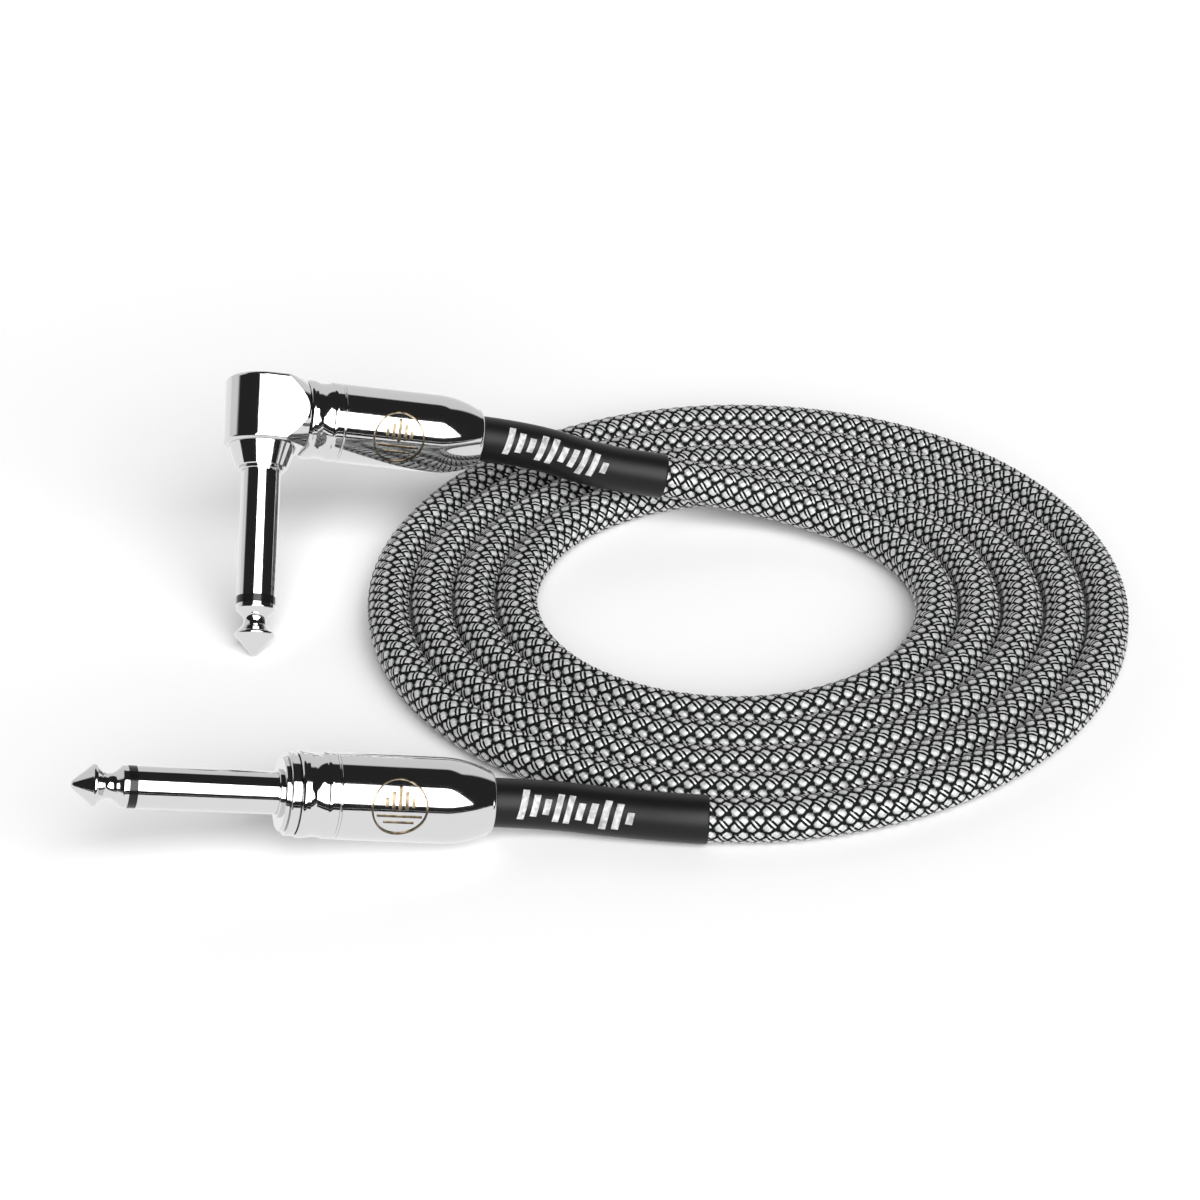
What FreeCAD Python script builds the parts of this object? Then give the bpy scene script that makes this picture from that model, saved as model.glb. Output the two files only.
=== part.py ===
import FreeCAD, Part
import math
import os

# A coiled instrument cable with a straight and a right-angle quarter-inch mono jack plug.
# Units are millimetres, +Z is up, the surface it lies on is z = 0, and the origin is the
# centre of the coil on that surface.

# Cord and coil
CORD_R = 3.45                # radius of the braided cord
TURN_PITCH = 6.92            # one turn to the next, a hair over the cord's diameter
COIL_START_R = 61.8          # centreline radius at the front, where the outermost turn starts
BOOT_R = 3.65                # outside radius of the heat-shrink boots
BOOT_LENGTH = 33.0           # how far a boot shows behind its barrel

# Jack, measured along its axis from the tip's point
SHAFT_R = 3.175              # quarter-inch jack
TIP_LENGTH = 8.2             # point to the insulator ring
RING_END = 9.5
SHAFT_END = 31.0             # point to the collar
BASE_BEAD = 0.5              # small bead where the shaft meets the collar
ROD_R = 1.2                  # centre rod that carries the tip
RIVET_R = 1.7
RIVET_HEIGHT = 0.7
BORE_R = 2.0                 # bore of the sleeve, which the liner fills
FIT = 0.02                   # radial play between pieces that are assembled and stay put
WASHER_THICK = 0.8
LUG_THICK = 0.5

# Collars
STRAIGHT_COLLAR = 2.3        # flange and step of the straight plug
CONE_HEIGHT = 3.7            # cone collar of the right-angle plug
PRESS_DEPTH = 3.6            # how far its sleeve is pressed into the head

# Elbow head of the right-angle plug, about the point where shaft and barrel axes cross
HEAD_R = 6.35
HEAD_HALF = 5.6
HEAD_REACH = 6.5             # shaft axis to the barrel's front edge
NECK_R = 6.2                 # radius of the turned cone where it meets the barrel
NECK_SLOPE = 0.507           # radius gained for each millimetre away from the barrel
CAP_R = 4.9
CAP_THICK = 1.2

# Barrel and what it covers, measured back from the barrel's front edge
BARREL_LENGTH = 30.0
BARREL_R = 6.5
BARREL_GAP = 0.1             # seam left open in front of the barrel
THREAD_R = 5.0
THREAD_LENGTH = 7.0
THREAD_PLAY = 0.05
REAR_HOLE_R = 4.1
CLAMP_START = 18.0
CLAMP_END = 24.0
CORD_INSET = 2.0             # how far inside the barrel's rear face the free cord starts

# Where the plugs lie: rear end of each barrel's axis, then yaw, pitch and roll in degrees
STRAIGHT_REAR = (-38.7, -60.8, 6.0)
STRAIGHT_TURN = (11.8, 11.0, 0.0)
ANGLED_REAR = (-42.5, 24.9, 19.9)
ANGLED_TURN = (12.3, 13.9, -44.2)

# Corners of the free cord's route, between the coil and the barrels
STRAIGHT_ROUTE = [(-30.9, -59.2, 4.65), (-20.6, -60.5, 4.0), (-9.7, -61.9, 3.9), (-3.4, -61.8, 3.45)]
CROSSING_ROUTE = [
    (32.39, 3.5, 3.45),
    (28.6, 13.8, 3.5),
    (21.4, 21.9, 4.1),
    (11.7, 27.0, 5.4),
    (0.6, 29.4, 7.2),
    (-11.2, 29.7, 9.7),
    (-22.8, 28.5, 13.2),
    (-34.3, 26.7, 17.8),
]

V = FreeCAD.Vector
ORIGIN = V(0, 0, 0)
ALONG_X = V(1, 0, 0)
ALONG_Z = V(0, 0, 1)


def turned(outline, axis):
    """A solid turned about an axis. Each step of the outline is a point (along, radius), or a
    pair of points for an arc through the first to the second."""
    if axis == ALONG_X:
        def place(p):
            return V(p[0], 0, p[1])
    else:
        def place(p):
            return V(p[1], 0, p[0])
    edges = []
    here = place(outline[0])
    for step in outline[1:] + outline[:1]:
        if isinstance(step[0], tuple):
            there = place(step[1])
            edges.append(Part.Arc(here, place(step[0]), there).toShape())
        else:
            there = place(step)
            edges.append(Part.LineSegment(here, there).toShape())
        here = there
    face = Part.Face(Part.Wire(edges))
    return face.revolve(ORIGIN, axis, 360)


def tube(start, end, inner, outer, axis=ALONG_X):
    """A plain tube, or a rod where inner is 0."""
    return turned([(start, inner), (start, outer), (end, outer), (end, inner)], axis)


def box(low, high):
    size = V(*high) - V(*low)
    return Part.makeBox(size.x, size.y, size.z, V(*low))


def placed(shape, placement):
    result = shape.copy()
    result.Placement = placement.multiply(result.Placement)
    return result


def export(name, shape):
    """Write one sub-part, refusing anything that isn't one valid solid."""
    if len(shape.Solids) != 1 or not shape.isValid():
        raise ValueError(f"{name}: {len(shape.Solids)} solids, valid {shape.isValid()}")
    shape.exportStep(f"parts/{name}.step")
    print(f"{name:28s} {shape.Volume:10.1f} mm3")


# Jack pieces, in a frame with the tip's point at the origin and +Z towards the collar

def tip_contact(rear):
    """The tip, a cone and a necked ball, turned in one with its centre rod. The rod's end is
    riveted over the solder lug at the rear."""
    return turned(
        [
            (0, 0),
            ((0.1, 0.42), (0.3, 0.68)),
            (2.95, 3.0),
            ((3.35, 3.19), (3.7, 2.98)),
            (4.55, 2.2),
            ((5.5, 1.87), (6.45, 2.2)),
            (7.3, 3.05),
            ((7.42, 3.14), (7.6, SHAFT_R)),
            (TIP_LENGTH, SHAFT_R),
            (TIP_LENGTH, ROD_R),
            (rear, ROD_R),
            (rear, RIVET_R),
            (rear + RIVET_HEIGHT, RIVET_R),
            (rear + RIVET_HEIGHT, 0),
        ],
        ALONG_Z,
    )


def insulator_ring():
    return tube(TIP_LENGTH, RING_END, ROD_R + FIT, SHAFT_R, ALONG_Z)


def liner(end):
    return tube(RING_END, end, ROD_R + FIT, BORE_R - FIT, ALONG_Z)


def shaft_outline():
    """Front of both sleeves: bore, front face, shaft and the bead at its root."""
    return [
        (RING_END, BORE_R),
        (RING_END, SHAFT_R),
        (SHAFT_END - BASE_BEAD, SHAFT_R),
        (SHAFT_END - BASE_BEAD, 3.5),
        ((SHAFT_END - 0.35, 3.63), (SHAFT_END - 0.2, 3.65)),
        (SHAFT_END, 3.65),
    ]


def straight_sleeve():
    """Shaft, flange, step and thread, turned in one piece."""
    seam = SHAFT_END + STRAIGHT_COLLAR
    end = seam + THREAD_LENGTH
    return turned(
        shaft_outline()
        + [
            (SHAFT_END, 5.5),
            (SHAFT_END + 0.15, 5.65),
            (SHAFT_END + 0.6, 5.65),
            (SHAFT_END + 0.8, 5.45),
            (SHAFT_END + 0.8, 6.0),
            ((SHAFT_END + 0.87, 6.17), (SHAFT_END + 1.05, 6.25)),
            (seam - 0.2, 6.25),
            (seam, 6.05),
            (seam, THREAD_R),
            (end, THREAD_R),
            (end, BORE_R),
        ],
        ALONG_Z,
    )


def angled_sleeve():
    """Shaft and cone collar, with a plain stub that is pressed into the elbow head."""
    cone_end = SHAFT_END + CONE_HEIGHT
    end = cone_end + PRESS_DEPTH
    return turned(
        shaft_outline()
        + [
            (SHAFT_END, 4.05),
            (SHAFT_END + 0.15, 4.2),
            (cone_end, 5.45),
            (cone_end, 4.5 - FIT),
            (end, 4.5 - FIT),
            (end, BORE_R),
        ],
        ALONG_Z,
    )


def rear_washer(start):
    return tube(start, start + WASHER_THICK, ROD_R + FIT, 3.55, ALONG_Z)


# Right-angle plug's own pieces, in a frame with the crossing of the two axes at the origin,
# +X along the barrel to the rear and +Z along the shaft away from the tip

def elbow_head():
    """A cast head: a round post with flat cheeks, turned to a cone where it runs into the
    barrel, with a threaded spigot and the bores for the sleeve, the wiring and the cap."""
    post = Part.makeCylinder(HEAD_R, 2 * HEAD_HALF, V(0, 0, -HEAD_HALF))
    cheeks = box((0, -HEAD_R, -HEAD_HALF), (HEAD_REACH, HEAD_R, HEAD_HALF))
    body = post.fuse(cheeks).removeSplitter()
    rims = [e for e in body.Edges if abs(abs(e.CenterOfMass.z) - HEAD_HALF) < 0.01
            and e.CenterOfMass.x < HEAD_REACH - 0.1]
    body = body.makeFillet(0.6, rims)
    far_r = NECK_R + NECK_SLOPE * (HEAD_REACH + 7.0)
    cone = turned([(-7.0, 0), (-7.0, far_r), (HEAD_REACH, NECK_R), (HEAD_REACH, 0)], ALONG_X)
    head = body.common(cone)
    head = head.fuse(tube(3.0, HEAD_REACH + THREAD_LENGTH, 0, THREAD_R))
    head = head.cut(Part.makeCylinder(4.5, PRESS_DEPTH, V(0, 0, -HEAD_HALF)))
    head = head.cut(Part.makeCylinder(4.2, 2 * HEAD_HALF, V(0, 0, PRESS_DEPTH - HEAD_HALF)))
    head = head.cut(Part.makeCylinder(CAP_R, 2 * CAP_THICK, V(0, 0, HEAD_HALF - CAP_THICK)))
    wiring = tube(0, HEAD_REACH + THREAD_LENGTH, 0, 3.2)
    return head.cut(wiring).removeSplitter()


def head_cap():
    """A pressed disc that closes the head over the rivet."""
    low = HEAD_HALF - CAP_THICK
    return turned(
        [
            (low, 0),
            (low, CAP_R - FIT),
            (HEAD_HALF - 0.2, CAP_R - FIT),
            (HEAD_HALF, CAP_R - 0.2),
            (HEAD_HALF, 0),
        ],
        ALONG_Z,
    )


def angled_tip_lug(low):
    """A flat ring under the rivet with a long strap through the wiring bore."""
    ring = tube(low, low + LUG_THICK, ROD_R + FIT, 2.6, ALONG_Z)
    strap = box((1.9, -1.1, low), (HEAD_REACH + 13.0, 1.1, low + LUG_THICK))
    return ring.fuse(strap).removeSplitter()


# Pieces behind the seam, in a frame with +X along the barrel's axis and 0 at its front edge

def straight_tip_lug():
    """A ring under the rivet with a tongue bent back along the plug."""
    front = THREAD_LENGTH + WASHER_THICK
    ring = tube(front, front + LUG_THICK, ROD_R + FIT, 2.6)
    tongue = box((front, -1.1, 2.05), (13.0, 1.1, 2.55))
    return ring.fuse(tongue).removeSplitter()


def ground_lug():
    """A ring on the end of the thread, an arm, and the clamp bent round the cord's jacket."""
    ring = tube(THREAD_LENGTH, THREAD_LENGTH + 0.6, 3.7, 4.25)
    arm = tube(THREAD_LENGTH, CLAMP_START, 3.7, 4.25)
    arm = arm.common(box((0, -2.2, -5), (CLAMP_START, 2.2, 0)))
    clamp = tube(CLAMP_START, CLAMP_END, CORD_R + 0.03, 4.0)
    clamp = clamp.cut(box((0, -2.4, 0), (CLAMP_END, 2.4, 5)))
    return ring.fuse(arm).fuse(clamp).removeSplitter()


def insulating_tube():
    return tube(8.0, 24.5, 4.4, 4.7)


def barrel():
    """The screw-on shell: a front bead, a waist, one fine groove, a long plain body and a
    rounded rear end with the hole for the boot."""
    groove = 5.9
    rear = BARREL_LENGTH
    return turned(
        [
            (BARREL_GAP, THREAD_R + THREAD_PLAY),
            (BARREL_GAP, 6.2),
            ((0.35, 6.42), (0.8, 6.5)),
            (1.3, 6.5),
            ((1.8, 6.42), (2.2, 6.3)),
            ((3.1, 6.22), (4.0, 6.32)),
            ((4.3, 6.46), (4.7, BARREL_R)),
            (groove - 0.25, BARREL_R),
            ((groove, BARREL_R - 0.2), (groove + 0.25, BARREL_R)),
            (rear - 8.2, BARREL_R),
            ((rear - 4.2, 6.12), (rear - 0.7, 4.95)),
            ((rear - 0.15, 4.65), (rear, 4.3)),
            (rear, REAR_HOLE_R),
            (rear - 2.0, REAR_HOLE_R),
            (rear - 5.0, THREAD_R + THREAD_PLAY),
        ],
        ALONG_X,
    )


def cable_end():
    """The jacketed end of the cord, held in the clamp."""
    return tube(CLAMP_START + 0.2, BARREL_LENGTH - CORD_INSET, 0, CORD_R)


def insulated_core():
    return tube(13.5, CLAMP_START + 0.2, 0, 1.5)


def conductor(face_z, side):
    """The bare wire, and the solder that holds it to one face of the tip lug."""
    joint = V(11.6, 0, face_z)
    start = V(13.5, 0, 0)
    target = joint + V(0, 0, 0.5 * side)
    run = target - start
    wire = Part.makeCylinder(0.4, run.Length, start, run)
    wire = wire.cut(box((start.x, -1, -1), (start.x + 1, 1, 1)))
    solder = Part.makeSphere(0.85, joint)
    keep = sorted((face_z, face_z + side))
    solder = solder.common(box((10, -1, keep[0]), (13, 1, keep[1])))
    return wire.fuse(solder).removeSplitter()


def shield_pigtail():
    """The screen, twisted together and laid along the ground lug's arm."""
    return tube(12.0, CLAMP_START + 0.2, 0, 0.65).translated(V(0, 0, -3.0))


# Cord

def coil_sector(centre_y, inner, outer, start, sweep):
    """Part of the flat coil's outer shape: a band as thick as the cord, rounded at both
    edges, between two centreline radii about (0, centre_y)."""
    def at(radius, height):
        return V(radius, centre_y, height)
    low, mid, high = 0.0, CORD_R, 2 * CORD_R
    edges = [
        Part.LineSegment(at(inner, low), at(outer, low)).toShape(),
        Part.Arc(at(outer, low), at(outer + CORD_R, mid), at(outer, high)).toShape(),
        Part.LineSegment(at(outer, high), at(inner, high)).toShape(),
        Part.Arc(at(inner, high), at(inner - CORD_R, mid), at(inner, low)).toShape(),
    ]
    face = Part.Face(Part.Wire(edges))
    centre = V(0, centre_y, 0)
    face.rotate(centre, ALONG_Z, start)
    return face.revolve(centre, ALONG_Z, sweep)


def turn_radius(turns):
    """Centreline radius of the half turn whose middle is this many turns from the front."""
    return COIL_START_R - TURN_PITCH * turns


def coil():
    """Four and a quarter turns, each half a semicircle about its own centre: the two centres
    are half a pitch apart, so that every half turn runs on into the next."""
    shift = TURN_PITCH / 4
    front_right = coil_sector(-shift, turn_radius(4.25), turn_radius(0.25), -90, 90)
    back_right = coil_sector(-shift, turn_radius(3.25), turn_radius(0.25), 0, 90)
    left = coil_sector(shift, turn_radius(3.75), turn_radius(0.75), 90, 180)
    return front_right.fuse(back_right).fuse(left).removeSplitter()


def rounded_route(name, points):
    """The edges of a route: straight runs joined by tangent arcs as large as the runs allow.
    The first and last runs have an arc at one end only, so it can take twice the share."""
    points = [V(*p) for p in points]
    runs = [(b - a).Length for a, b in zip(points, points[1:])]
    room = [2 * runs[0]] + runs[1:-1] + [2 * runs[-1]]
    edges = []
    here = points[0]
    radii = []
    for k, corner in enumerate(points[1:-1]):
        incoming = (corner - points[k]).normalize()
        outgoing = (points[k + 2] - corner).normalize()
        half_turn = incoming.getAngle(outgoing) / 2
        setback = 0.45 * min(room[k], room[k + 1])
        radius = setback / math.tan(half_turn)
        radii.append(round(radius, 1))
        enter = corner - incoming * setback
        leave = corner + outgoing * setback
        inward = (outgoing - incoming).normalize()
        centre = corner + inward * (radius / math.cos(half_turn))
        edges.append(Part.LineSegment(here, enter).toShape())
        edges.append(Part.Arc(enter, centre - inward * radius, leave).toShape())
        here = leave
    edges.append(Part.LineSegment(here, points[-1]).toShape())
    length = sum(e.Length for e in edges)
    print(f"{name}: length {length:.1f} mm, runs {[round(run, 1) for run in runs]} mm")
    print(f"{name}: arc radii {radii} mm")
    return edges


def trimmed(edges, length):
    """The first part of a route, cut off at a length."""
    kept = []
    for edge in edges:
        if edge.Length < length:
            kept.append(edge)
            length -= edge.Length
            continue
        end = edge.getParameterByLength(length)
        middle = edge.getParameterByLength(length / 2)
        start = edge.valueAt(edge.FirstParameter)
        if isinstance(edge.Curve, Part.Line):
            kept.append(Part.LineSegment(start, edge.valueAt(end)).toShape())
        else:
            kept.append(Part.Arc(start, edge.valueAt(middle), edge.valueAt(end)).toShape())
        break
    return kept


def swept(name, edges, inner, outer):
    """A round tube along a route, with its volume compared with its section times its length."""
    path = Part.Wire(edges)
    start = edges[0].valueAt(edges[0].FirstParameter)
    heading = edges[0].tangentAt(edges[0].FirstParameter)
    disc = Part.Face(Part.Wire(Part.makeCircle(outer, start, heading)))
    solid = path.makePipe(disc)
    area = math.pi * outer ** 2
    print(f"{name}: volume over section times length {solid.Volume / area / path.Length:.4f}")
    if inner:
        core = Part.Face(Part.Wire(Part.makeCircle(inner, start, heading)))
        solid = solid.cut(path.makePipe(core))
    return solid


# Assembly

def tail_placement(rear, turn):
    """From the frame behind the seam to the part's frame."""
    rotation = FreeCAD.Rotation(*turn)
    seam = V(*rear) - rotation.multVec(V(BARREL_LENGTH, 0, 0))
    return FreeCAD.Placement(seam, rotation)


def cord_start(placement):
    return tuple(placement.multVec(V(BARREL_LENGTH - CORD_INSET, 0, 0)))


def export_tail(prefix, placement, lug_face, lug_side):
    """Everything that both plugs have behind the seam."""
    pieces = {
        "ground_lug": ground_lug(),
        "insulating_tube": insulating_tube(),
        "barrel": barrel(),
        "cable_end": cable_end(),
        "core": insulated_core(),
        "conductor": conductor(lug_face, lug_side),
        "shield_pigtail": shield_pigtail(),
    }
    for name, shape in pieces.items():
        export(f"{prefix}_{name}", placed(shape, placement))


def export_jack(prefix, placement, sleeve, sleeve_end):
    """Everything that both plugs have in front: tip, rod, insulators and sleeve."""
    rivet = sleeve_end + WASHER_THICK + LUG_THICK
    pieces = {
        "tip_contact": tip_contact(rivet),
        "insulator_ring": insulator_ring(),
        "liner": liner(sleeve_end),
        "sleeve": sleeve,
        "rear_washer": rear_washer(sleeve_end),
    }
    for name, shape in pieces.items():
        export(f"{prefix}_{name}", placed(shape, placement))


os.makedirs("parts", exist_ok=True)

# Straight plug: the jack's axis is the barrel's
straight_tail = tail_placement(STRAIGHT_REAR, STRAIGHT_TURN)
straight_seam = SHAFT_END + STRAIGHT_COLLAR
lay_back = FreeCAD.Placement(V(-straight_seam, 0, 0), FreeCAD.Rotation(V(0, 1, 0), 90))
straight_jack = straight_tail.multiply(lay_back)
export_jack("straight", straight_jack, straight_sleeve(), straight_seam + THREAD_LENGTH)
export("straight_tip_lug", placed(straight_tip_lug(), straight_tail))
export_tail("straight", straight_tail, 2.05, -1)

# Right-angle plug: the jack stands on the barrel's axis
angled_tail = tail_placement(ANGLED_REAR, ANGLED_TURN)
angled_head = angled_tail.multiply(FreeCAD.Placement(V(-HEAD_REACH, 0, 0), FreeCAD.Rotation()))
axis_height = SHAFT_END + CONE_HEIGHT + HEAD_HALF
jack_drop = FreeCAD.Placement(V(0, 0, -axis_height), FreeCAD.Rotation())
angled_jack = angled_head.multiply(jack_drop)
export_jack("angled", angled_jack, angled_sleeve(), SHAFT_END + CONE_HEIGHT + PRESS_DEPTH)
lug_low = PRESS_DEPTH - HEAD_HALF + WASHER_THICK
export("angled_tip_lug", placed(angled_tip_lug(lug_low), angled_head))
export("angled_head", placed(elbow_head(), angled_head))
export("angled_head_cap", placed(head_cap(), angled_head))
export_tail("angled", angled_tail, lug_low + LUG_THICK, 1)

# Cord, from barrel to barrel
coil_front = (0.0, -COIL_START_R, CORD_R)
coil_leave = (turn_radius(4.25), -TURN_PITCH / 4, CORD_R)
straight_points = [cord_start(straight_tail)] + STRAIGHT_ROUTE + [coil_front]
crossing_points = [cord_start(angled_tail)] + CROSSING_ROUTE[::-1] + [coil_leave]
straight_route = rounded_route("straight lead", straight_points)
crossing_route = rounded_route("crossing lead", crossing_points)
boot_reach = CORD_INSET + BOOT_LENGTH
export("cord_coil", coil())
export("cord_straight_lead", swept("straight lead", straight_route, 0, CORD_R))
export("cord_crossing_lead", swept("crossing lead", crossing_route, 0, CORD_R))
export("straight_boot", swept("straight boot", trimmed(straight_route, boot_reach), CORD_R, BOOT_R))
export("angled_boot", swept("angled boot", trimmed(crossing_route, boot_reach), CORD_R, BOOT_R))
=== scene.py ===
import math

import bpy
import numpy as np
from mathutils import Matrix, Vector


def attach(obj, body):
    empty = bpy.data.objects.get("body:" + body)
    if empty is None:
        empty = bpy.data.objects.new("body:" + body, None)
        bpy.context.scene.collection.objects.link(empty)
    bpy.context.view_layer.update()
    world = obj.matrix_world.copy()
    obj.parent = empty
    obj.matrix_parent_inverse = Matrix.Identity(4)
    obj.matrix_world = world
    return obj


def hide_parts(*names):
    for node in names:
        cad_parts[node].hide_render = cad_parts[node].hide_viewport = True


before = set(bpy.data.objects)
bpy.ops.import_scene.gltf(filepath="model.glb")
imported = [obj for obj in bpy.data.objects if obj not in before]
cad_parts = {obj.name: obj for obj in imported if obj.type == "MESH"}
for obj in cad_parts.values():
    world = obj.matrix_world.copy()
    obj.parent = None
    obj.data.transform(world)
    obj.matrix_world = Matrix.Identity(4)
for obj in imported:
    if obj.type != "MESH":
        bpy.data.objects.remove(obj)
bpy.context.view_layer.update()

# Camera. A long lens, raised 32 degrees above the surface, with the two plugs on the left.
camera_data = bpy.data.cameras.new("camera")
camera_data.sensor_width = 36.0
camera_data.lens = 125.76
camera = bpy.data.objects.new("camera", camera_data)
camera.location = (-0.02224, -0.5782, 0.3654)
camera.rotation_euler = (math.radians(57.98), 0.0, 0.0)
bpy.context.collection.objects.link(camera)
bpy.context.scene.camera = camera

# Cord route. One length of cord, from inside the straight plug's barrel, round a flat coil of
# four and a quarter turns that lie against each other, and over the turns to the other plug.
CORD_R = 0.00345
TURN_PITCH = 0.00692
COIL_FRONT = 0.0618
COIL_SKEW = 0.027
STRAIGHT_ROUTE = [
    (-0.04062, -0.0612, 0.00638),
    (-0.0309, -0.0592, 0.00465),
    (-0.0206, -0.0605, 0.0040),
    (-0.0097, -0.0620, 0.0039),
    (-0.0034, -0.0619, 0.00345),
]
CROSSING_ROUTE = [
    (0.03239, 0.0044, 0.00345),
    (0.0286, 0.0146, 0.0035),
    (0.0214, 0.0223, 0.0041),
    (0.0117, 0.0271, 0.0054),
    (0.0006, 0.0294, 0.0072),
    (-0.0112, 0.0297, 0.0097),
    (-0.0228, 0.0283, 0.0125),
    (-0.0343, 0.0267, 0.0178),
    (-0.0444, 0.0245, 0.0204),
]


def coil_route():
    """The coil's points, anticlockwise and inwards from its front. Each half turn is a
    semicircle about its own centre, the centres are half a pitch apart, and the whole coil
    lies slightly askew."""
    points = []
    step = math.radians(15)
    for half in range(9):
        radius = COIL_FRONT - TURN_PITCH * (0.25 + 0.5 * half)
        centre_y = TURN_PITCH / 4 if half % 2 else -TURN_PITCH / 4
        for k in range(12 if half < 8 else 6):
            angle = math.radians(180 * half - 90) + step * (k + 0.5)
            reach = radius / math.cos(step / 2)
            x = reach * math.cos(angle)
            y = centre_y + reach * math.sin(angle) + COIL_SKEW * x
            points.append((x, y, CORD_R))
    return points


def spline_line(points):
    """Closely spaced points along the smooth line that these control points give."""
    curve = bpy.data.curves.new("route", "CURVE")
    curve.dimensions = "3D"
    spline = curve.splines.new("NURBS")
    spline.points.add(len(points) - 1)
    for point, place in zip(spline.points, points):
        point.co = (*place, 1.0)
    spline.order_u = 3
    spline.use_endpoint_u = True
    spline.resolution_u = 12
    holder = bpy.data.objects.new("route", curve)
    mesh = bpy.data.meshes.new_from_object(holder)
    line = np.array([vertex.co for vertex in mesh.vertices])
    bpy.data.meshes.remove(mesh)
    bpy.data.objects.remove(holder)
    bpy.data.curves.remove(curve)
    return line


line = spline_line(STRAIGHT_ROUTE + coil_route() + CROSSING_ROUTE)
line_run = np.concatenate([[0.0], np.cumsum(np.linalg.norm(np.diff(line, axis=0), axis=1))])
line_heading = np.gradient(line, line_run, axis=0)
CORD_LENGTH = line_run[-1]


def around_cord(run, angle, radius):
    """Points on or near the cord's surface, from arrays of distances along it, angles round
    it (0 is its top, a quarter turn is its right-hand side) and distances from its centre."""
    centre = np.stack([np.interp(run, line_run, line[:, k]) for k in range(3)], -1)
    heading = np.stack([np.interp(run, line_run, line_heading[:, k]) for k in range(3)], -1)
    heading /= np.linalg.norm(heading, axis=-1, keepdims=True)
    side = np.cross(heading, (0.0, 0.0, 1.0))
    side /= np.linalg.norm(side, axis=-1, keepdims=True)
    up = np.cross(side, heading)
    lift = np.cos(angle)[..., None] * up + np.sin(angle)[..., None] * side
    return centre + radius[..., None] * lift


def sheet_piece(name, strips, uvs, closed=False, depths=()):
    """A smooth piece from strips of points, each an array of rows along the cord and columns
    round it. A closed strip is a tube with flat ends. Depths, if any, are kept as an
    attribute, from 0 deep in the braid to 1 at its top; the silver uses it for painted shade."""
    places = np.concatenate([strip.reshape(-1, 3) for strip in strips])
    faces = []
    loops = []
    start = 0
    for strip, uv in zip(strips, uvs):
        rows, columns = strip.shape[:2]
        index = start + np.arange(rows * columns).reshape(rows, columns)
        if closed:
            index = np.concatenate([index, index[:, :1]], axis=1)
        quads = np.stack([index[:-1, :-1], index[:-1, 1:], index[1:, 1:], index[1:, :-1]], -1)
        faces += quads.reshape(-1, 4).tolist()
        corners = np.stack([uv[:-1, :-1], uv[:-1, 1:], uv[1:, 1:], uv[1:, :-1]], -2)
        loops.append(corners.reshape(-1, 2))
        if closed:
            ends = [index[0, -2::-1].tolist(), index[-1, :-1].tolist()]
            faces += ends
            loops.append(np.zeros((sum(len(end) for end in ends), 2)))
        start += rows * columns
    mesh = bpy.data.meshes.new(name)
    mesh.from_pydata(places.tolist(), [], faces)
    layer = mesh.uv_layers.new(name="surface")
    layer.data.foreach_set("uv", np.concatenate(loops).ravel())
    if depths:
        layer = mesh.attributes.new("depth", "FLOAT", "POINT")
        layer.data.foreach_set("value", np.concatenate([depth.ravel() for depth in depths]))
    mesh.shade_smooth()
    piece = bpy.data.objects.new(name, mesh)
    bpy.context.collection.objects.link(piece)
    return piece


def cord_tube(name, run, radius, columns, start=0.0, facing=0.0, away=1):
    """A closed tube about the cord's centre line, with its own radius at each distance. Its
    UV map is in millimetres, from a start along the cord and a facing angle round it."""
    angle = np.linspace(0, 2 * math.pi, columns, endpoint=False)
    turn, distance = np.meshgrid(angle, run)
    reach = np.repeat(radius[:, None], columns, axis=1)
    seam_turn, seam_distance = np.meshgrid(np.linspace(0, 2 * math.pi, columns + 1), run)
    along = away * (seam_distance - start) * 1000
    across = away * (seam_turn - facing) * CORD_R * 1000
    uv = np.stack([along, across], -1)
    return sheet_piece(name, [around_cord(distance, turn, reach)], [uv], closed=True)


def linear(hex_colour):
    """A Blender colour from an sRGB hex value."""
    channels = [int(hex_colour[k:k + 2], 16) / 255 for k in (1, 3, 5)]
    curve = [c / 12.92 if c <= 0.04045 else ((c + 0.055) / 1.055) ** 2.4 for c in channels]
    return (*curve, 1.0)


def new_material(name):
    """A material with only an output and a Principled shader, and its node tree and shader."""
    material = bpy.data.materials.new(name)
    material.use_nodes = True
    tree = material.node_tree
    return material, tree, tree.nodes["Principled BSDF"]


def node(tree, kind, settings=(), inputs=()):
    """Add a node. Settings are its properties; inputs are values, or sockets to link from."""
    made = tree.nodes.new(kind)
    for key, value in dict(settings).items():
        setattr(made, key, value)
    for key, value in dict(inputs).items():
        if isinstance(value, bpy.types.NodeSocket):
            tree.links.new(value, made.inputs[key])
        else:
            made.inputs[key].default_value = value
    return made


def finish_with(piece, material, body="cable"):
    """Give a piece its material and the body it moves with."""
    piece.data.materials.append(material)
    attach(piece, body)


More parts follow.
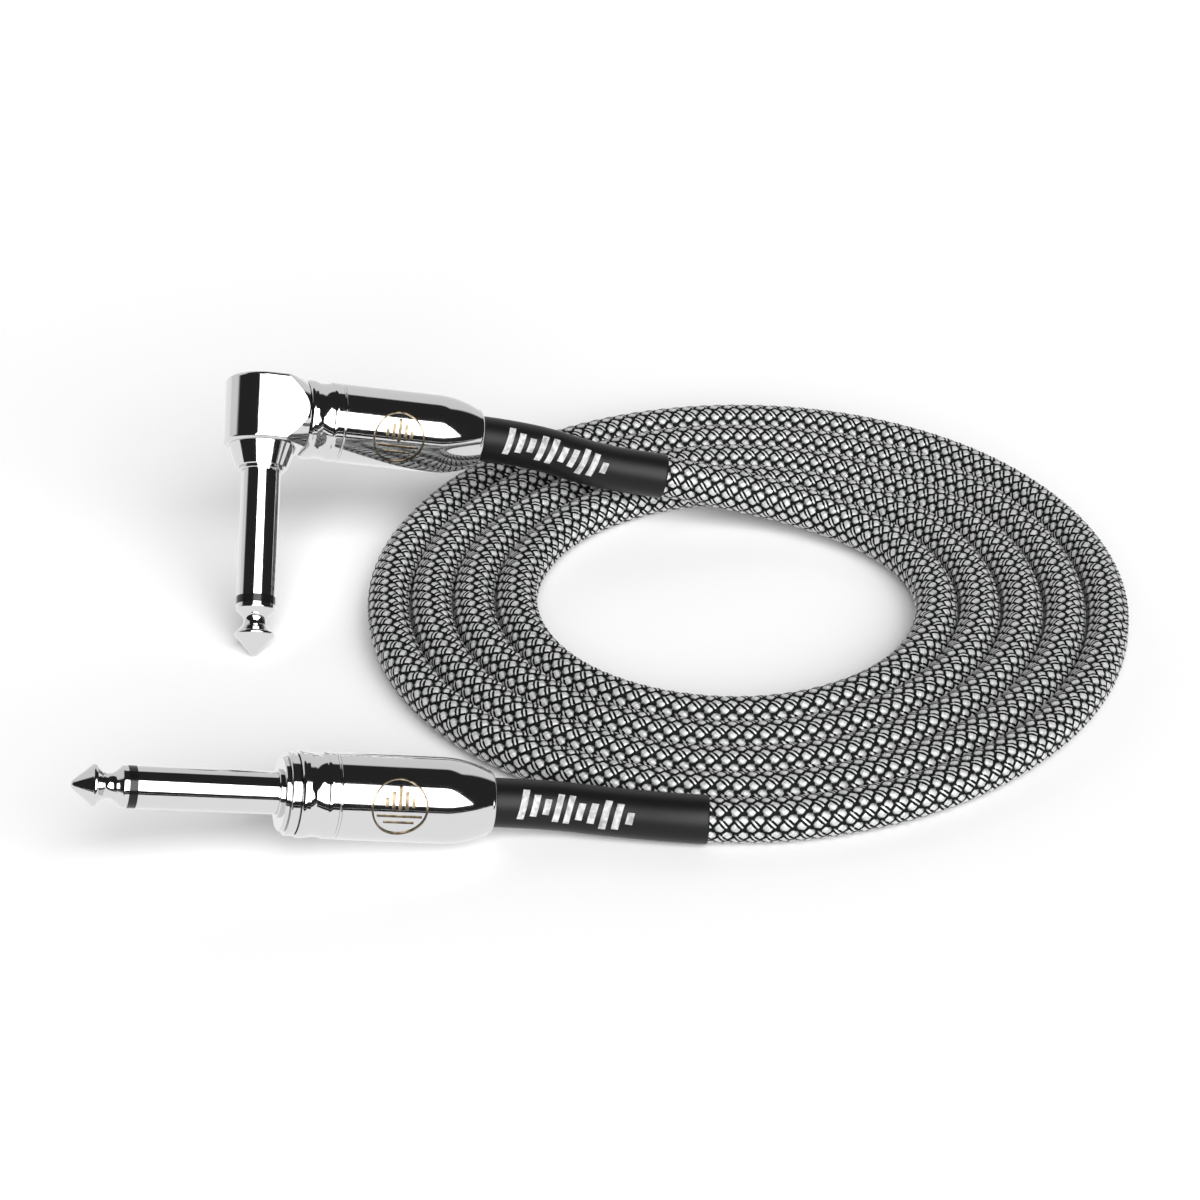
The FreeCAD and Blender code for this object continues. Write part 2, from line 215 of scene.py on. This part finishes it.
# Jacket under the braid. Black PVC, extruded over the screened core. It only shows as the
# dark ground in the gaps of the braid.
jacket_run = np.linspace(0, CORD_LENGTH, 1100)
jacket = cord_tube("cord_jacket", jacket_run, np.full(len(jacket_run), 0.0032), 20)
black_pvc, tree, shader = new_material("black_pvc")
grain = node(tree, "ShaderNodeTexNoise", {}, {"Scale": 3.0, "Detail": 2.0})
tone = node(tree, "ShaderNodeValToRGB", {}, {"Fac": grain.outputs["Fac"]})
tone.color_ramp.elements[0].color = linear("#010203")
tone.color_ramp.elements[1].color = linear("#070B0C")
uv = node(tree, "ShaderNodeUVMap", {"uv_map": "surface"})
tree.links.new(uv.outputs[0], grain.inputs["Vector"])
tree.links.new(tone.outputs[0], shader.inputs["Base Color"])
shader.inputs["Roughness"].default_value = 0.7
shader.inputs["Specular IOR Level"].default_value = 0.15
finish_with(jacket, black_pvc)
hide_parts("cord_coil", "cord_straight_lead", "cord_crossing_lead")

# Braid. Sixteen carriers, eight each way, in a plain weave: wide flat bundles of silver
# polyester with a black thread beside each, crossed by narrow bundles, silver between black.
BRAID_LEAD = 0.0192
BRAID_CARRIERS = 8
SAMPLES_PER_CROSSING = 5
FIRST_CROSSING = 26
CROSSING = BRAID_LEAD / (2 * BRAID_CARRIERS)
BRAID_R = 0.0034
BOOT_REACH = 0.035
braid_start = FIRST_CROSSING * CROSSING
braid_rows = int((CORD_LENGTH - 2 * braid_start) / CROSSING * SAMPLES_PER_CROSSING)
crossings = FIRST_CROSSING + np.arange(braid_rows) / SAMPLES_PER_CROSSING
braid_run = crossings * CROSSING
SLANT = 2 * math.pi * BRAID_R / BRAID_LEAD
BRAID_STRETCH = math.hypot(1, SLANT)
FIBRE_SHIFT = 37.0
# Radii over which the depth attribute runs from 0 to 1; it sets the painted shade on the silver.
DEPTH_FLOOR = 0.0031
DEPTH_RANGE = 0.0004


def carrier(number, hand, across, radius):
    """One bundle wound round the cord. Hand is 1 or -1 for the way it winds, across lists
    offsets from its middle, and radius is an array of rows by columns."""
    offset = np.asarray(across)
    turns = hand * braid_run / BRAID_LEAD + number / BRAID_CARRIERS
    run = braid_run[:, None] - hand * SLANT / BRAID_STRETCH * offset[None, :]
    angle = 2 * math.pi * turns[:, None] + offset[None, :] / BRAID_STRETCH / BRAID_R
    wound = braid_run * BRAID_STRETCH * 1000 + FIBRE_SHIFT * number
    u = np.repeat(wound[:, None], len(offset), axis=1)
    v = np.repeat(offset[None, :] * 1000, len(braid_run), axis=0)
    return around_cord(run, angle, radius), np.stack([u, v], -1)


def braided(name, hand, columns, profile, height, numbers):
    """A piece of several bundles. Columns are offsets across, profile is how far each
    column lies below the bundle's top, and height is the top's radius at each row."""
    radius = height[:, None] - np.asarray(profile)[None, :]
    # Depth for the painted shade in the silver, 0 deep in the braid to 1 at the top.
    depth = np.clip((radius - DEPTH_FLOOR) / DEPTH_RANGE, 0, 1)
    pairs = [carrier(number, hand, columns, radius) for number in numbers]
    strips, uvs = zip(*pairs)
    return sheet_piece(name, strips, uvs, depths=[depth] * len(pairs))


# How high each bundle's top is above the cord's centre line. Both rise and fall in turn, and
# the wide one dives sharply at each crossing where the narrow one is on top.
WIDE_TOP = 0.00346
WIDE_SWELL = 0.00005
WIDE_DIVE = 0.00036
DIVE_REACH = 0.50
NARROW_TOP = 0.00326
NARROW_SWELL = 0.00025
swell = np.cos(math.pi * crossings)
from_crossing = np.abs((crossings + 1) % 2 - 1) * CROSSING * BRAID_STRETCH * 1000
dive = np.exp(-((from_crossing / DIVE_REACH) ** 4))
wide_height = WIDE_TOP + WIDE_SWELL * swell - WIDE_DIVE * dive
narrow_height = NARROW_TOP - NARROW_SWELL * swell

# Offsets across each bundle and how far each lies below its top: flat with rolled edges.
WIDE = [-0.00074, -0.00052, 0.0, 0.00044, 0.00064]
WIDE_FALL = [0.00021, 0.00005, 0.0, 0.00005, 0.00021]
SIDE_THREAD = [0.00054, 0.00084, 0.00114]
THREAD_FALL = [0.00016, 0.0, 0.00016]

silver_a = braided("braid_silver_even", -1, WIDE, WIDE_FALL, wide_height, range(0, 8, 2))
silver_b = braided("braid_silver_odd", -1, WIDE, WIDE_FALL, wide_height, range(1, 8, 2))
SIDE_DROP = 0.00006
side_height = wide_height - SIDE_DROP
black_a = braided("braid_black_beside", -1, SIDE_THREAD, THREAD_FALL, side_height, range(8))
NEAR_THREAD = [-0.00052, -0.00032, -0.00011]
FAR_THREAD = [0.00011, 0.00032, 0.00052]
FLAT_FALL = [0.00007, 0.0, 0.00007]
NARROW_SILVER = [-0.00014, 0.00014]
SILVER_FALL = [0.00004, 0.00004]
crossing_pieces = []
for name, columns, profile in (
    ("braid_black_across_one", NEAR_THREAD, FLAT_FALL),
    ("braid_black_across_two", FAR_THREAD, FLAT_FALL),
    ("braid_silver_across", NARROW_SILVER, SILVER_FALL),
):
    crossing_pieces.append(braided(name, 1, columns, profile, narrow_height, range(8)))
black_b, black_c, silver_c = crossing_pieces

# Polyester multifilament, bright silver grey: satin, with the fine parallel lines of its
# filaments, about 0.1 mm apart, slow changes of tone along a bundle, and painted shade:
# the colour is darkened where the bundle dives between its neighbours.
silver_polyester, tree, shader = new_material("silver_polyester")
uv = node(tree, "ShaderNodeUVMap", {"uv_map": "surface"})
stretch = node(tree, "ShaderNodeMapping", {}, {"Vector": uv.outputs[0], "Scale": (0.35, 9.0, 1.0)})
fibre = node(tree, "ShaderNodeTexNoise", {}, {"Vector": stretch.outputs[0], "Scale": 1.0, "Detail": 4.0})
tone = node(tree, "ShaderNodeValToRGB", {}, {"Fac": fibre.outputs["Fac"]})
tone.color_ramp.elements[0].position = 0.28
tone.color_ramp.elements[0].color = linear("#8E8F92")
tone.color_ramp.elements[1].position = 0.66
tone.color_ramp.elements[1].color = linear("#D8D8D7")
# Painted shade: the depth attribute darkens the silver where it lies deep in the braid.
depth = node(tree, "ShaderNodeAttribute", {"attribute_name": "depth"}).outputs["Fac"]
shade = node(tree, "ShaderNodeValToRGB", {}, {"Fac": depth})
shade.color_ramp.elements[0].position = 0.08
shade.color_ramp.elements[0].color = linear("#1E2224")
shade.color_ramp.elements[1].position = 0.58
shade.color_ramp.elements[1].color = linear("#FFFFFF")
shaded = node(
    tree,
    "ShaderNodeMix",
    {"data_type": "RGBA", "blend_type": "MULTIPLY"},
    {0: 1.0, 6: tone.outputs[0], 7: shade.outputs[0]},
)
tree.links.new(shaded.outputs[2], shader.inputs["Base Color"])
bump = node(tree, "ShaderNodeBump", {}, {"Height": fibre.outputs["Fac"], "Strength": 0.6, "Distance": 1e-4})
tree.links.new(bump.outputs[0], shader.inputs["Normal"])
shader.inputs["Metallic"].default_value = 0.2
shader.inputs["Roughness"].default_value = 0.36

# Polyester thread, dyed black with a cold cast, rougher than the silver and with the same
# fine lines.
black_polyester, tree, shader = new_material("black_polyester")
uv = node(tree, "ShaderNodeUVMap", {"uv_map": "surface"})
stretch = node(tree, "ShaderNodeMapping", {}, {"Vector": uv.outputs[0], "Scale": (0.8, 12.0, 1.0)})
fibre = node(tree, "ShaderNodeTexNoise", {}, {"Vector": stretch.outputs[0], "Scale": 1.0, "Detail": 3.0})
tone = node(tree, "ShaderNodeValToRGB", {}, {"Fac": fibre.outputs["Fac"]})
tone.color_ramp.elements[0].position = 0.35
tone.color_ramp.elements[0].color = linear("#010203")
tone.color_ramp.elements[1].position = 0.75
tone.color_ramp.elements[1].color = linear("#060D0F")
tree.links.new(tone.outputs[0], shader.inputs["Base Color"])
bump = node(tree, "ShaderNodeBump", {}, {"Height": fibre.outputs["Fac"], "Strength": 0.5, "Distance": 1e-4})
tree.links.new(bump.outputs[0], shader.inputs["Normal"])
shader.inputs["Roughness"].default_value = 0.6
shader.inputs["Specular IOR Level"].default_value = 0.15

for piece in (silver_a, silver_b, silver_c):
    finish_with(piece, silver_polyester)
for piece in (black_a, black_b, black_c):
    finish_with(piece, black_polyester)


# Boots. Black heat-shrink sleeves over the cord's ends, shrunk on before the barrels go over
# them, so that they look drawn tight, satin, with a rolled edge. A row of leaning silver bars
# of a sound wave's heights is printed along the front of each.
BOOT_R = 0.00372
BARREL_END = 0.0020
FRONT_SIDE = math.radians(56)
boot_run = np.concatenate([
    [0.0005],
    np.linspace(0.001, BOOT_REACH - 0.0004, 70),
    BOOT_REACH - np.array([0.00025, 0.0001, 0.0, 0.0]),
])
boot_radius = np.full(len(boot_run), BOOT_R)
boot_radius[-3:] = (BOOT_R - 0.00006, BOOT_R - 0.00016, BOOT_R - 0.0005)

heat_shrink, tree, shader = new_material("heat_shrink")
FIRST_BAR = 4.0
BAR_PITCH = 1.9
LAST_BAR = FIRST_BAR + 10 * BAR_PITCH
BAR_SHARE = 0.56
BAR_LEAN = 0.2
ROW_SLOPE = 0.03
WAVE_STEP = 0.85
WAVE_START = 1.7
WAVE_HEIGHT = 1.5
LEAST_HEIGHT = 0.75

uv = node(tree, "ShaderNodeUVMap", {"uv_map": "surface"})
axes = node(tree, "ShaderNodeSeparateXYZ", {}, {"Vector": uv.outputs[0]}).outputs
sums = {"along": axes["X"], "around": axes["Y"]}
for result, operation, first, second in (
    ("row", "MULTIPLY", "along", ROW_SLOPE),
    ("off_row", "SUBTRACT", "around", "row"),
    ("lean", "MULTIPLY", "off_row", BAR_LEAN),
    ("leaned", "ADD", "along", "lean"),
    ("from_first", "SUBTRACT", "leaned", FIRST_BAR),
    ("bars_along", "DIVIDE", "from_first", BAR_PITCH),
    ("bar_number", "FLOOR", "bars_along", 0.0),
    ("wave_angle", "MULTIPLY", "bar_number", WAVE_STEP),
    ("wave_place", "ADD", "wave_angle", WAVE_START),
    ("wave", "SINE", "wave_place", 0.0),
    ("swing", "ABSOLUTE", "wave", 0.0),
    ("scaled_swing", "MULTIPLY", "swing", WAVE_HEIGHT),
    ("half_height", "ADD", "scaled_swing", LEAST_HEIGHT),
    ("within_bar", "FRACT", "bars_along", 0.0),
    ("in_bar", "LESS_THAN", "within_bar", BAR_SHARE),
    ("distance_off", "ABSOLUTE", "off_row", 0.0),
    ("in_height", "LESS_THAN", "distance_off", "half_height"),
    ("after_first", "GREATER_THAN", "leaned", FIRST_BAR),
    ("before_last", "LESS_THAN", "leaned", LAST_BAR),
    ("bar", "MULTIPLY", "in_bar", "in_height"),
    ("in_row", "MULTIPLY", "after_first", "before_last"),
    ("printed", "MULTIPLY", "bar", "in_row"),
):
    values = {0: sums.get(first, first), 1: sums.get(second, second)}
    sums[result] = node(tree, "ShaderNodeMath", {"operation": operation}, values).outputs[0]
silver_ink = node(tree, "ShaderNodeTexNoise", {}, {"Vector": uv.outputs[0], "Scale": 0.9, "Detail": 2.0})
ink = node(tree, "ShaderNodeValToRGB", {}, {"Fac": silver_ink.outputs["Fac"]})
ink.color_ramp.elements[0].position = 0.35
ink.color_ramp.elements[0].color = linear("#8F8F90")
ink.color_ramp.elements[1].position = 0.62
ink.color_ramp.elements[1].color = linear("#C6C6C5")
colour = node(
    tree,
    "ShaderNodeMix",
    {"data_type": "RGBA"},
    {0: sums["printed"], 6: linear("#0A0A0B"), 7: ink.outputs[0]},
)
tree.links.new(colour.outputs[2], shader.inputs["Base Color"])
grain = node(tree, "ShaderNodeTexNoise", {}, {"Vector": uv.outputs[0], "Scale": 6.0, "Detail": 3.0})
bump = node(tree, "ShaderNodeBump", {}, {"Height": grain.outputs["Fac"], "Strength": 0.15, "Distance": 5e-5})
tree.links.new(bump.outputs[0], shader.inputs["Normal"])
shader.inputs["Roughness"].default_value = 0.45
shader.inputs["Specular IOR Level"].default_value = 0.28

for name, far in (("straight_boot", False), ("angled_boot", True)):
    if far:
        run, radius = CORD_LENGTH - boot_run[::-1], boot_radius[::-1]
        start, facing, away = CORD_LENGTH - BARREL_END, 2 * math.pi - FRONT_SIDE, -1
    else:
        run, radius = boot_run, boot_radius
        start, facing, away = BARREL_END, FRONT_SIDE, 1
    boot = cord_tube(f"{name}_sleeve", run, radius, 64, start, facing, away)
    finish_with(boot, heat_shrink)
    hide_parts(name)

# Plated metal. Turned brass, nickel and chrome plated and polished: a mirror, slightly uneven
# from the polishing wheel, a little duller in fine streaks.
bright_plate, tree, shader = new_material("bright_plate")
place = node(tree, "ShaderNodeTexCoord").outputs["Object"]
streak = node(tree, "ShaderNodeMapping", {}, {"Vector": place, "Scale": (0.2, 1.0, 1.0)})
polish = node(tree, "ShaderNodeTexNoise", {}, {"Vector": streak.outputs[0], "Scale": 1500.0, "Detail": 3.0})
gloss = node(
    tree,
    "ShaderNodeMapRange",
    {},
    {"Value": polish.outputs["Fac"], "From Min": 0.3, "From Max": 0.7, "To Min": 0.04, "To Max": 0.085},
)
tree.links.new(gloss.outputs[0], shader.inputs["Roughness"])
ripple = node(tree, "ShaderNodeTexNoise", {}, {"Vector": place, "Scale": 220.0, "Detail": 1.0})
bump = node(
    tree,
    "ShaderNodeBump",
    {},
    {"Height": ripple.outputs["Fac"], "Strength": 0.06, "Distance": 1e-4},
)
tree.links.new(bump.outputs[0], shader.inputs["Normal"])
shader.inputs["Base Color"].default_value = linear("#D2D2D3")
shader.inputs["Metallic"].default_value = 1.0


def dress(material, *names):
    """Give a material to the CAD nodes of these names, on both plugs where there are two."""
    for name in names:
        for full_name in (name, f"straight_{name}", f"angled_{name}"):
            if full_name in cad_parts:
                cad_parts[full_name].data.materials.clear()
                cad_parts[full_name].data.materials.append(material)


dress(bright_plate, "tip_contact", "sleeve", "barrel", "angled_head", "angled_head_cap")

# Insulators. The ring between tip and sleeve, its liner and the rear washer: black phenolic,
# turned and waxed, glossy, with a fine fleck from its filler.
black_phenolic, tree, shader = new_material("black_phenolic")
place = node(tree, "ShaderNodeTexCoord").outputs["Object"]
fleck = node(tree, "ShaderNodeTexNoise", {}, {"Vector": place, "Scale": 2500.0, "Detail": 3.0})
tone = node(tree, "ShaderNodeValToRGB", {}, {"Fac": fleck.outputs["Fac"]})
tone.color_ramp.elements[0].color = linear("#0A0A0B")
tone.color_ramp.elements[1].color = linear("#1B1B1D")
tree.links.new(tone.outputs[0], shader.inputs["Base Color"])
bump = node(tree, "ShaderNodeBump", {}, {"Height": fleck.outputs["Fac"], "Strength": 0.1, "Distance": 5e-5})
tree.links.new(bump.outputs[0], shader.inputs["Normal"])
shader.inputs["Roughness"].default_value = 0.14
shader.inputs["Specular IOR Level"].default_value = 0.3
dress(black_phenolic, "insulator_ring", "liner", "rear_washer")

# Inside the barrels: brass lugs, copper wire, polythene on the core, the cord's own jacket,
# and the clear tube that keeps the solder joints off the barrel.
INNER_FINISHES = [
    ("stamped_brass", "#B08D57", "#C9A66B", 1.0, 0.30, ("tip_lug", "ground_lug")),
    ("bare_copper", "#B4693F", "#CB8358", 1.0, 0.32, ("conductor", "shield_pigtail")),
    ("white_polythene", "#D9D9D4", "#E8E8E4", 0.0, 0.45, ("core",)),
    ("jacket_end", "#0B1112", "#151B1C", 0.0, 0.55, ("cable_end",)),
    ("clear_pvc_tube", "#CBCFD0", "#DDE0E0", 0.0, 0.15, ("insulating_tube",)),
]
for title, dark, light, metallic, roughness, names in INNER_FINISHES:
    material, tree, shader = new_material(title)
    place = node(tree, "ShaderNodeTexCoord").outputs["Object"]
    mottle = node(tree, "ShaderNodeTexNoise", {}, {"Vector": place, "Scale": 900.0, "Detail": 3.0})
    tone = node(tree, "ShaderNodeValToRGB", {}, {"Fac": mottle.outputs["Fac"]})
    tone.color_ramp.elements[0].position = 0.3
    tone.color_ramp.elements[0].color = linear(dark)
    tone.color_ramp.elements[1].position = 0.7
    tone.color_ramp.elements[1].color = linear(light)
    tree.links.new(tone.outputs[0], shader.inputs["Base Color"])
    shader.inputs["Metallic"].default_value = metallic
    shader.inputs["Roughness"].default_value = roughness
    dress(material, *names)

# Badges. A thin ring with five level bars over two cross bars, stamped in bronze plate and
# pressed on each barrel half way along it, curved to the barrel.
antique_bronze, tree, shader = new_material("antique_bronze")
place = node(tree, "ShaderNodeTexCoord").outputs["Object"]
patina = node(tree, "ShaderNodeTexNoise", {}, {"Vector": place, "Scale": 1200.0, "Detail": 3.0})
tone = node(tree, "ShaderNodeValToRGB", {}, {"Fac": patina.outputs["Fac"]})
tone.color_ramp.elements[0].position = 0.35
tone.color_ramp.elements[0].color = linear("#453D32")
tone.color_ramp.elements[1].position = 0.65
tone.color_ramp.elements[1].color = linear("#83765F")
tree.links.new(tone.outputs[0], shader.inputs["Base Color"])
shader.inputs["Metallic"].default_value = 1.0
shader.inputs["Roughness"].default_value = 0.28

BADGE_R = 0.0043
BADGE_RIM = 0.00028
BADGE_THICK = 0.00016
BADGE_EDGE = 0.00005
ABOVE_BARREL = 0.0080
bpy.ops.object.select_all(action="DESELECT")
bpy.ops.mesh.primitive_circle_add(vertices=96, radius=BADGE_R, fill_type="NGON")
flat_badge = bpy.context.object
bpy.ops.object.mode_set(mode="EDIT")
bpy.ops.mesh.select_all(action="SELECT")
bpy.ops.mesh.inset(thickness=BADGE_RIM)
bpy.ops.mesh.delete(type="FACE")
bpy.ops.object.mode_set(mode="OBJECT")
BADGE_BARS = [
    (-0.0020, 0.0008, 0.00050, 0.0014),
    (-0.0010, 0.0011, 0.00050, 0.0026),
    (0.0, 0.0014, 0.00050, 0.0036),
    (0.0010, 0.0011, 0.00050, 0.0026),
    (0.0020, 0.0008, 0.00050, 0.0014),
    (0.0, -0.00125, 0.0068, 0.00035),
    (0.0, -0.00225, 0.0046, 0.00025),
]
bars = []
for x, y, width, length in BADGE_BARS:
    bpy.ops.mesh.primitive_grid_add(x_subdivisions=12, y_subdivisions=12, size=1.0, location=(x, y, 0.0))
    bar = bpy.context.object
    bar.scale = (width, length, 1.0)
    bars.append(bar)
bpy.ops.object.select_all(action="DESELECT")
for piece in (flat_badge, *bars):
    piece.data.materials.append(antique_bronze)
    piece.select_set(True)
bpy.context.view_layer.objects.active = flat_badge
bpy.ops.object.join()

BADGE_PLACES = {
    "straight": ((-0.05340, -0.06387, 0.00892), (0.96088, 0.20074, -0.19081), (0.2573, -0.9020, 0.3464)),
    "angled": ((-0.05673, 0.02180, 0.02350), (0.94843, 0.20679, -0.24023), (0.2622, -0.9382, 0.2270)),
}
for side, (centre, along, outward) in BADGE_PLACES.items():
    along = Vector(along).normalized()
    upward = Vector(outward).cross(along).normalized()
    outward = along.cross(upward)
    badge = flat_badge.copy()
    badge.data = flat_badge.data.copy()
    badge.name = f"{side}_badge"
    bpy.context.collection.objects.link(badge)
    turn = Matrix((along, upward, outward)).transposed().to_4x4()
    badge.matrix_world = Matrix.Translation(Vector(centre) + ABOVE_BARREL * outward) @ turn
    wrap = badge.modifiers.new("wrap", "SHRINKWRAP")
    wrap.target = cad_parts[f"{side}_barrel"]
    wrap.wrap_method = "PROJECT"
    wrap.use_project_z = True
    wrap.use_positive_direction = False
    wrap.use_negative_direction = True
    plate = badge.modifiers.new("plate", "SOLIDIFY")
    plate.thickness = BADGE_THICK
    plate.offset = 1.0
    edge = badge.modifiers.new("edge", "BEVEL")
    edge.width = BADGE_EDGE
    edge.segments = 2
    bpy.ops.object.select_all(action="DESELECT")
    badge.select_set(True)
    bpy.context.view_layer.objects.active = badge
    for modifier in ("wrap", "plate", "edge"):
        bpy.ops.object.modifier_apply(modifier=modifier)
    bpy.ops.object.transform_apply(location=True, rotation=True, scale=True)
    bpy.ops.object.shade_smooth_by_angle(angle=math.radians(35))
    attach(badge, f"{side}_barrel_body")
bpy.data.objects.remove(flat_badge)

# Studio. A white table under a large soft light in front and above, with a pale wall behind
# and on the left and a dark room elsewhere. Plated metal shows little but what it mirrors, so
# the table is evenly bright, and a dark card lies in front, in mirror reflections only.
bpy.ops.object.select_all(action="DESELECT")
bpy.ops.mesh.primitive_plane_add(size=3.0)
table = bpy.context.object
table.name = "table"
white_table, tree, shader = new_material("white_table")
shader.inputs["Base Color"].default_value = linear("#F4F4F4")
shader.inputs["Roughness"].default_value = 0.9
bounce = node(tree, "ShaderNodeEmission", {}, {"Strength": 1.0})
mirrored = node(tree, "ShaderNodeLightPath").outputs["Is Glossy Ray"]
mixed = node(tree, "ShaderNodeMixShader", {}, {0: mirrored, 1: shader.outputs[0], 2: bounce.outputs[0]})
tree.links.new(mixed.outputs[0], tree.nodes["Material Output"].inputs["Surface"])
table.data.materials.append(white_table)

bpy.ops.mesh.primitive_plane_add(size=1.0, location=(0.0, -0.47, 0.0005))
card = bpy.context.object
card.name = "dark_card"
card.scale = (1.6, 0.6, 1.0)
card.visible_camera = False
card.visible_diffuse = False
card.visible_shadow = False
dark_card, tree, shader = new_material("dark_card")
shader.inputs["Base Color"].default_value = linear("#101010")
shader.inputs["Roughness"].default_value = 1.0
shader.inputs["Specular IOR Level"].default_value = 0.0
card.data.materials.append(dark_card)

world = bpy.data.worlds.new("studio")
bpy.context.scene.world = world
world.use_nodes = True
tree = world.node_tree
tree.nodes.clear()
direction = node(tree, "ShaderNodeTexCoord").outputs["Generated"]
axes = node(tree, "ShaderNodeSeparateXYZ", {}, {"Vector": direction}).outputs


LIGHT_STRENGTH = 5.8
WALL_STRENGTH = 0.77
ROOM_STRENGTH = 0.023
DEGREES = 180 / math.pi
sums = {"x": axes["X"], "y": axes["Y"], "z": axes["Z"]}
for result, operation, first, second in (
    ("rise", "ARCSINE", "z", 0.0),
    ("height", "MULTIPLY", "rise", DEGREES),
    ("turn_behind", "ARCTAN2", "x", "y"),
    ("behind", "MULTIPLY", "turn_behind", DEGREES),
    ("minus_y", "MULTIPLY", "y", -1.0),
    ("turn_front", "ARCTAN2", "x", "minus_y"),
    ("in_front", "MULTIPLY", "turn_front", DEGREES),
):
    values = {0: sums.get(first, first), 1: sums.get(second, second)}
    sums[result] = node(tree, "ShaderNodeMath", {"operation": operation}, values).outputs[0]


def within(value, low, high, soft):
    """1 between low and high, falling to 0 over a soft edge."""
    ramps = []
    for edge, sign in ((low, 1), (high, -1)):
        ramps.append(node(
            tree,
            "ShaderNodeMapRange",
            {"interpolation_type": "SMOOTHSTEP"},
            {"Value": value, "From Min": edge - sign * soft, "From Max": edge + sign * soft},
        ).outputs[0])
    return node(tree, "ShaderNodeMath", {"operation": "MULTIPLY"}, dict(enumerate(ramps))).outputs[0]


sums["light_wide"] = within(sums["in_front"], -17, 55, 1.5)
sums["light_high"] = within(sums["height"], 12, 62, 1.5)
sums["wall_wide"] = within(sums["behind"], -86, 45, 4)
sums["wall_high"] = within(sums["height"], -20, 48, 2)
for result, operation, first, second in (
    ("soft_light", "MULTIPLY", "light_wide", "light_high"),
    ("wall", "MULTIPLY", "wall_wide", "wall_high"),
    ("lit", "MULTIPLY", "soft_light", LIGHT_STRENGTH),
    ("wall_lit", "MULTIPLY", "wall", WALL_STRENGTH),
    ("both", "ADD", "lit", "wall_lit"),
    ("bright", "ADD", "both", ROOM_STRENGTH),
):
    values = {0: sums.get(first, first), 1: sums.get(second, second)}
    sums[result] = node(tree, "ShaderNodeMath", {"operation": operation}, values).outputs[0]
room = node(tree, "ShaderNodeBackground", {}, {"Strength": sums["bright"]})
plain = node(tree, "ShaderNodeBackground", {}, {"Strength": 1.0, "Color": (1.0, 1.0, 1.0, 1.0)})
seen = node(tree, "ShaderNodeLightPath").outputs["Is Camera Ray"]
mixed = node(tree, "ShaderNodeMixShader", {}, {0: seen, 1: room.outputs[0], 2: plain.outputs[0]})
node(tree, "ShaderNodeOutputWorld", {}, {"Surface": mixed.outputs[0]})
room.inputs["Color"].default_value = (1.0, 1.0, 1.0, 1.0)
bpy.context.scene.view_settings.view_transform = "Standard"
bpy.context.scene.view_settings.exposure = 0.12
